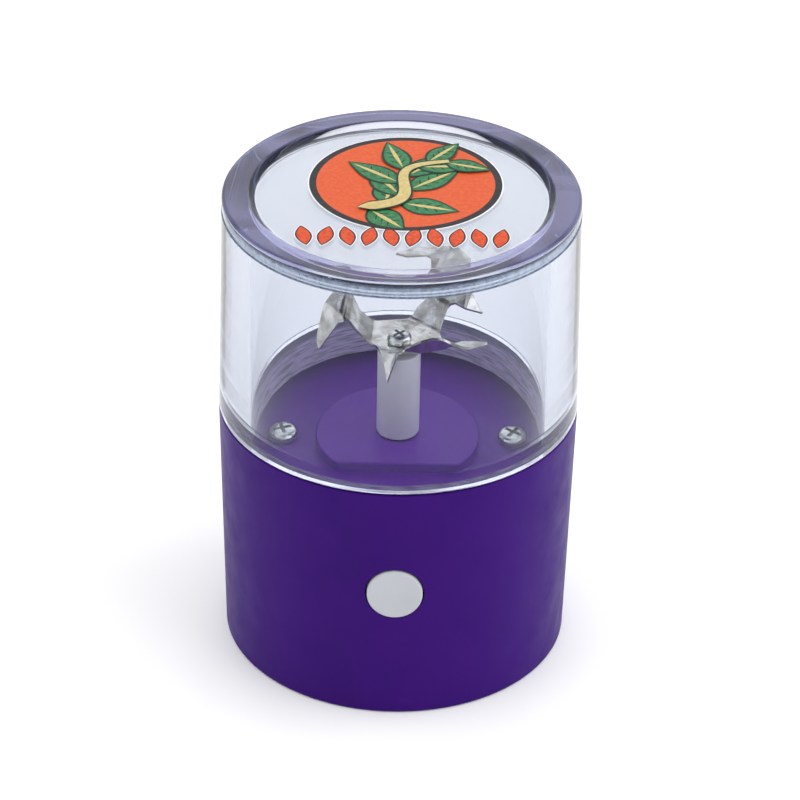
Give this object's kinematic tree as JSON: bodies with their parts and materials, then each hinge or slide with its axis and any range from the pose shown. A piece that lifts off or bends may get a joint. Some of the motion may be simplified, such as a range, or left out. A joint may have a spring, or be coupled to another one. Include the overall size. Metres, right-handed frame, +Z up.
{
  "type": "electric herb grinder",
  "caption": "Round battery-driven herb and spice grinder: purple base with motor, deck and push button, bent steel blade, and a thick clear screw-on cup.",
  "frame": {"origin": "centre of the base's underside, on the surface it stands on", "axes": "+Z up along the motor shaft and the cup's axis; the push button faces -Y; the charging socket faces +Y"},
  "size_m": [0.063, 0.063, 0.0872],
  "materials": {
    "clear_plastic": "clear moulded plastic, polished",
    "label_print": "printed label, satin",
    "seal_silicone": "translucent silicone",
    "purple_plastic": "satin",
    "deck_plastic": "satin",
    "white_plastic": "satin",
    "button_plastic": "satin",
    "stainless_steel": "rolled",
    "zinc_plate": "bright zinc plate",
    "motor_can_steel": "plated",
    "sintered_bronze": "sintered",
    "terminal_brass": "stamped",
    "winding_copper": "enamelled",
    "ferrite": "pressed ferrite",
    "core_laminations": "stacked sheet",
    "end_cap_nylon": "moulded",
    "brush_carbon": "pressed carbon",
    "battery_pouch": "foil pouch",
    "circuit_board": "solder mask",
    "chip_resin": "moulded resin",
    "led_lens": "clear lens",
    "switch_housing": "moulded",
    "lead_red": "insulation",
    "lead_black": "insulation"
  },
  "bodies": {
    "base": {"base_shell": "purple_plastic", "deck_plate": "deck_plastic", "deck_screw_left": "zinc_plate", "deck_screw_right": "zinc_plate", "motor_can": "motor_can_steel", "motor_end_cap": "end_cap_nylon", "motor_bush_front": "sintered_bronze", "motor_bush_rear": "sintered_bronze", "motor_magnet_right": "ferrite", "motor_magnet_left": "ferrite", "motor_terminal_left": "terminal_brass", "motor_terminal_right": "terminal_brass", "motor_brush_left": "brush_carbon", "motor_brush_right": "brush_carbon", "switch_body": "switch_housing", "switch_board": "circuit_board", "battery_pack": "battery_pouch", "charge_board": "circuit_board", "charge_chip": "chip_resin", "charge_led": "led_lens", "charge_socket": "zinc_plate", "socket_tongue": "chip_resin", "motor_lead_negative": "lead_black", "motor_lead_positive": "lead_red", "battery_lead_negative": "lead_black", "battery_lead_positive": "lead_red", "supply_lead_negative": "lead_black", "supply_lead_positive": "lead_red"},
    "cup_ring": {"cup_seal": "seal_silicone"},
    "cup": {"clear_cup": "clear_plastic", "top_label": "label_print"},
    "rotor": {"shaft_sleeve": "white_plastic", "blade": "stainless_steel", "blade_washer": "zinc_plate", "blade_screw": "zinc_plate", "motor_shaft": "stainless_steel", "commutator": "winding_copper", "armature_core": "core_laminations", "armature_coil_1": "winding_copper", "armature_coil_2": "winding_copper", "armature_coil_3": "winding_copper"},
    "button": {"power_button": "button_plastic"},
    "plunger": {"switch_plunger": "end_cap_nylon"}
  },
  "joints": [
    {"name": "cup_lift", "type": "slide", "parent": "base", "child": "cup_ring", "axis": [0, 0, 1], "range_m": [0, 0.05]},
    {"name": "cup_turn", "type": "hinge", "parent": "cup_ring", "child": "cup", "pos_m": [0, 0, 0.0465], "axis": [0, 0, 1], "range_deg": [0, 630]},
    {"name": "rotor_spin", "type": "hinge", "parent": "base", "child": "rotor", "pos_m": [0, 0, 0.04], "axis": [0, 0, 1], "continuous": true},
    {"name": "power_button_press", "type": "slide", "parent": "base", "child": "button", "axis": [0, 1, 0], "range_m": [0, 0.0006], "stiffness_N_per_m": 2500},
    {"name": "switch_plunger_press", "type": "slide", "parent": "base", "child": "plunger", "axis": [0, 1, 0], "range_m": [0, 0.00035]}
  ],
  "couplings": [
    {"joint": "switch_plunger_press", "follows": "power_button_press", "ratio": 0.5833}
  ]
}
